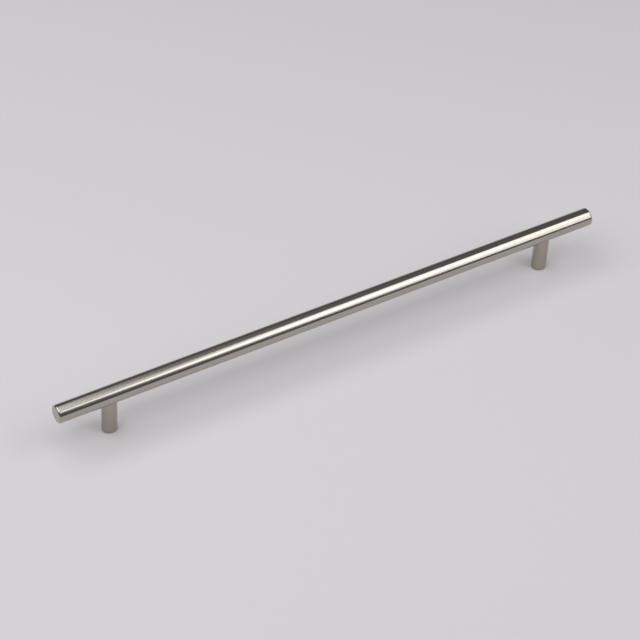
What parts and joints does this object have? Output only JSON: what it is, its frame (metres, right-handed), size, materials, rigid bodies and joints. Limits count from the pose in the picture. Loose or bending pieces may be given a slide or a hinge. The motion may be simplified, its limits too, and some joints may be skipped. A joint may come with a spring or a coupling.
{
  "type": "t bar cabinet pull",
  "caption": "Solid round T bar cabinet pull in brushed nickel, the bar seated in saddle-topped posts whose feet are tapped for screws through a door or drawer front.",
  "frame": {"origin": "on the plane of the feet, which is the face of the door or drawer front, midway between the fixing holes", "axes": "+X along the bar, +Z away from the cabinet through the posts, Y across the bar"},
  "size_m": [0.392, 0.012, 0.035],
  "materials": {
    "brushed_nickel": "satin nickel plate on solid steel, brushed round the bar and the posts",
    "stud_steel": "black oxide on hardened steel"
  },
  "bodies": {
    "root": {"handle_bar": "brushed_nickel", "left_post": "brushed_nickel", "right_post": "brushed_nickel", "left_joining_stud": "stud_steel", "right_joining_stud": "stud_steel"}
  },
  "joints": []
}
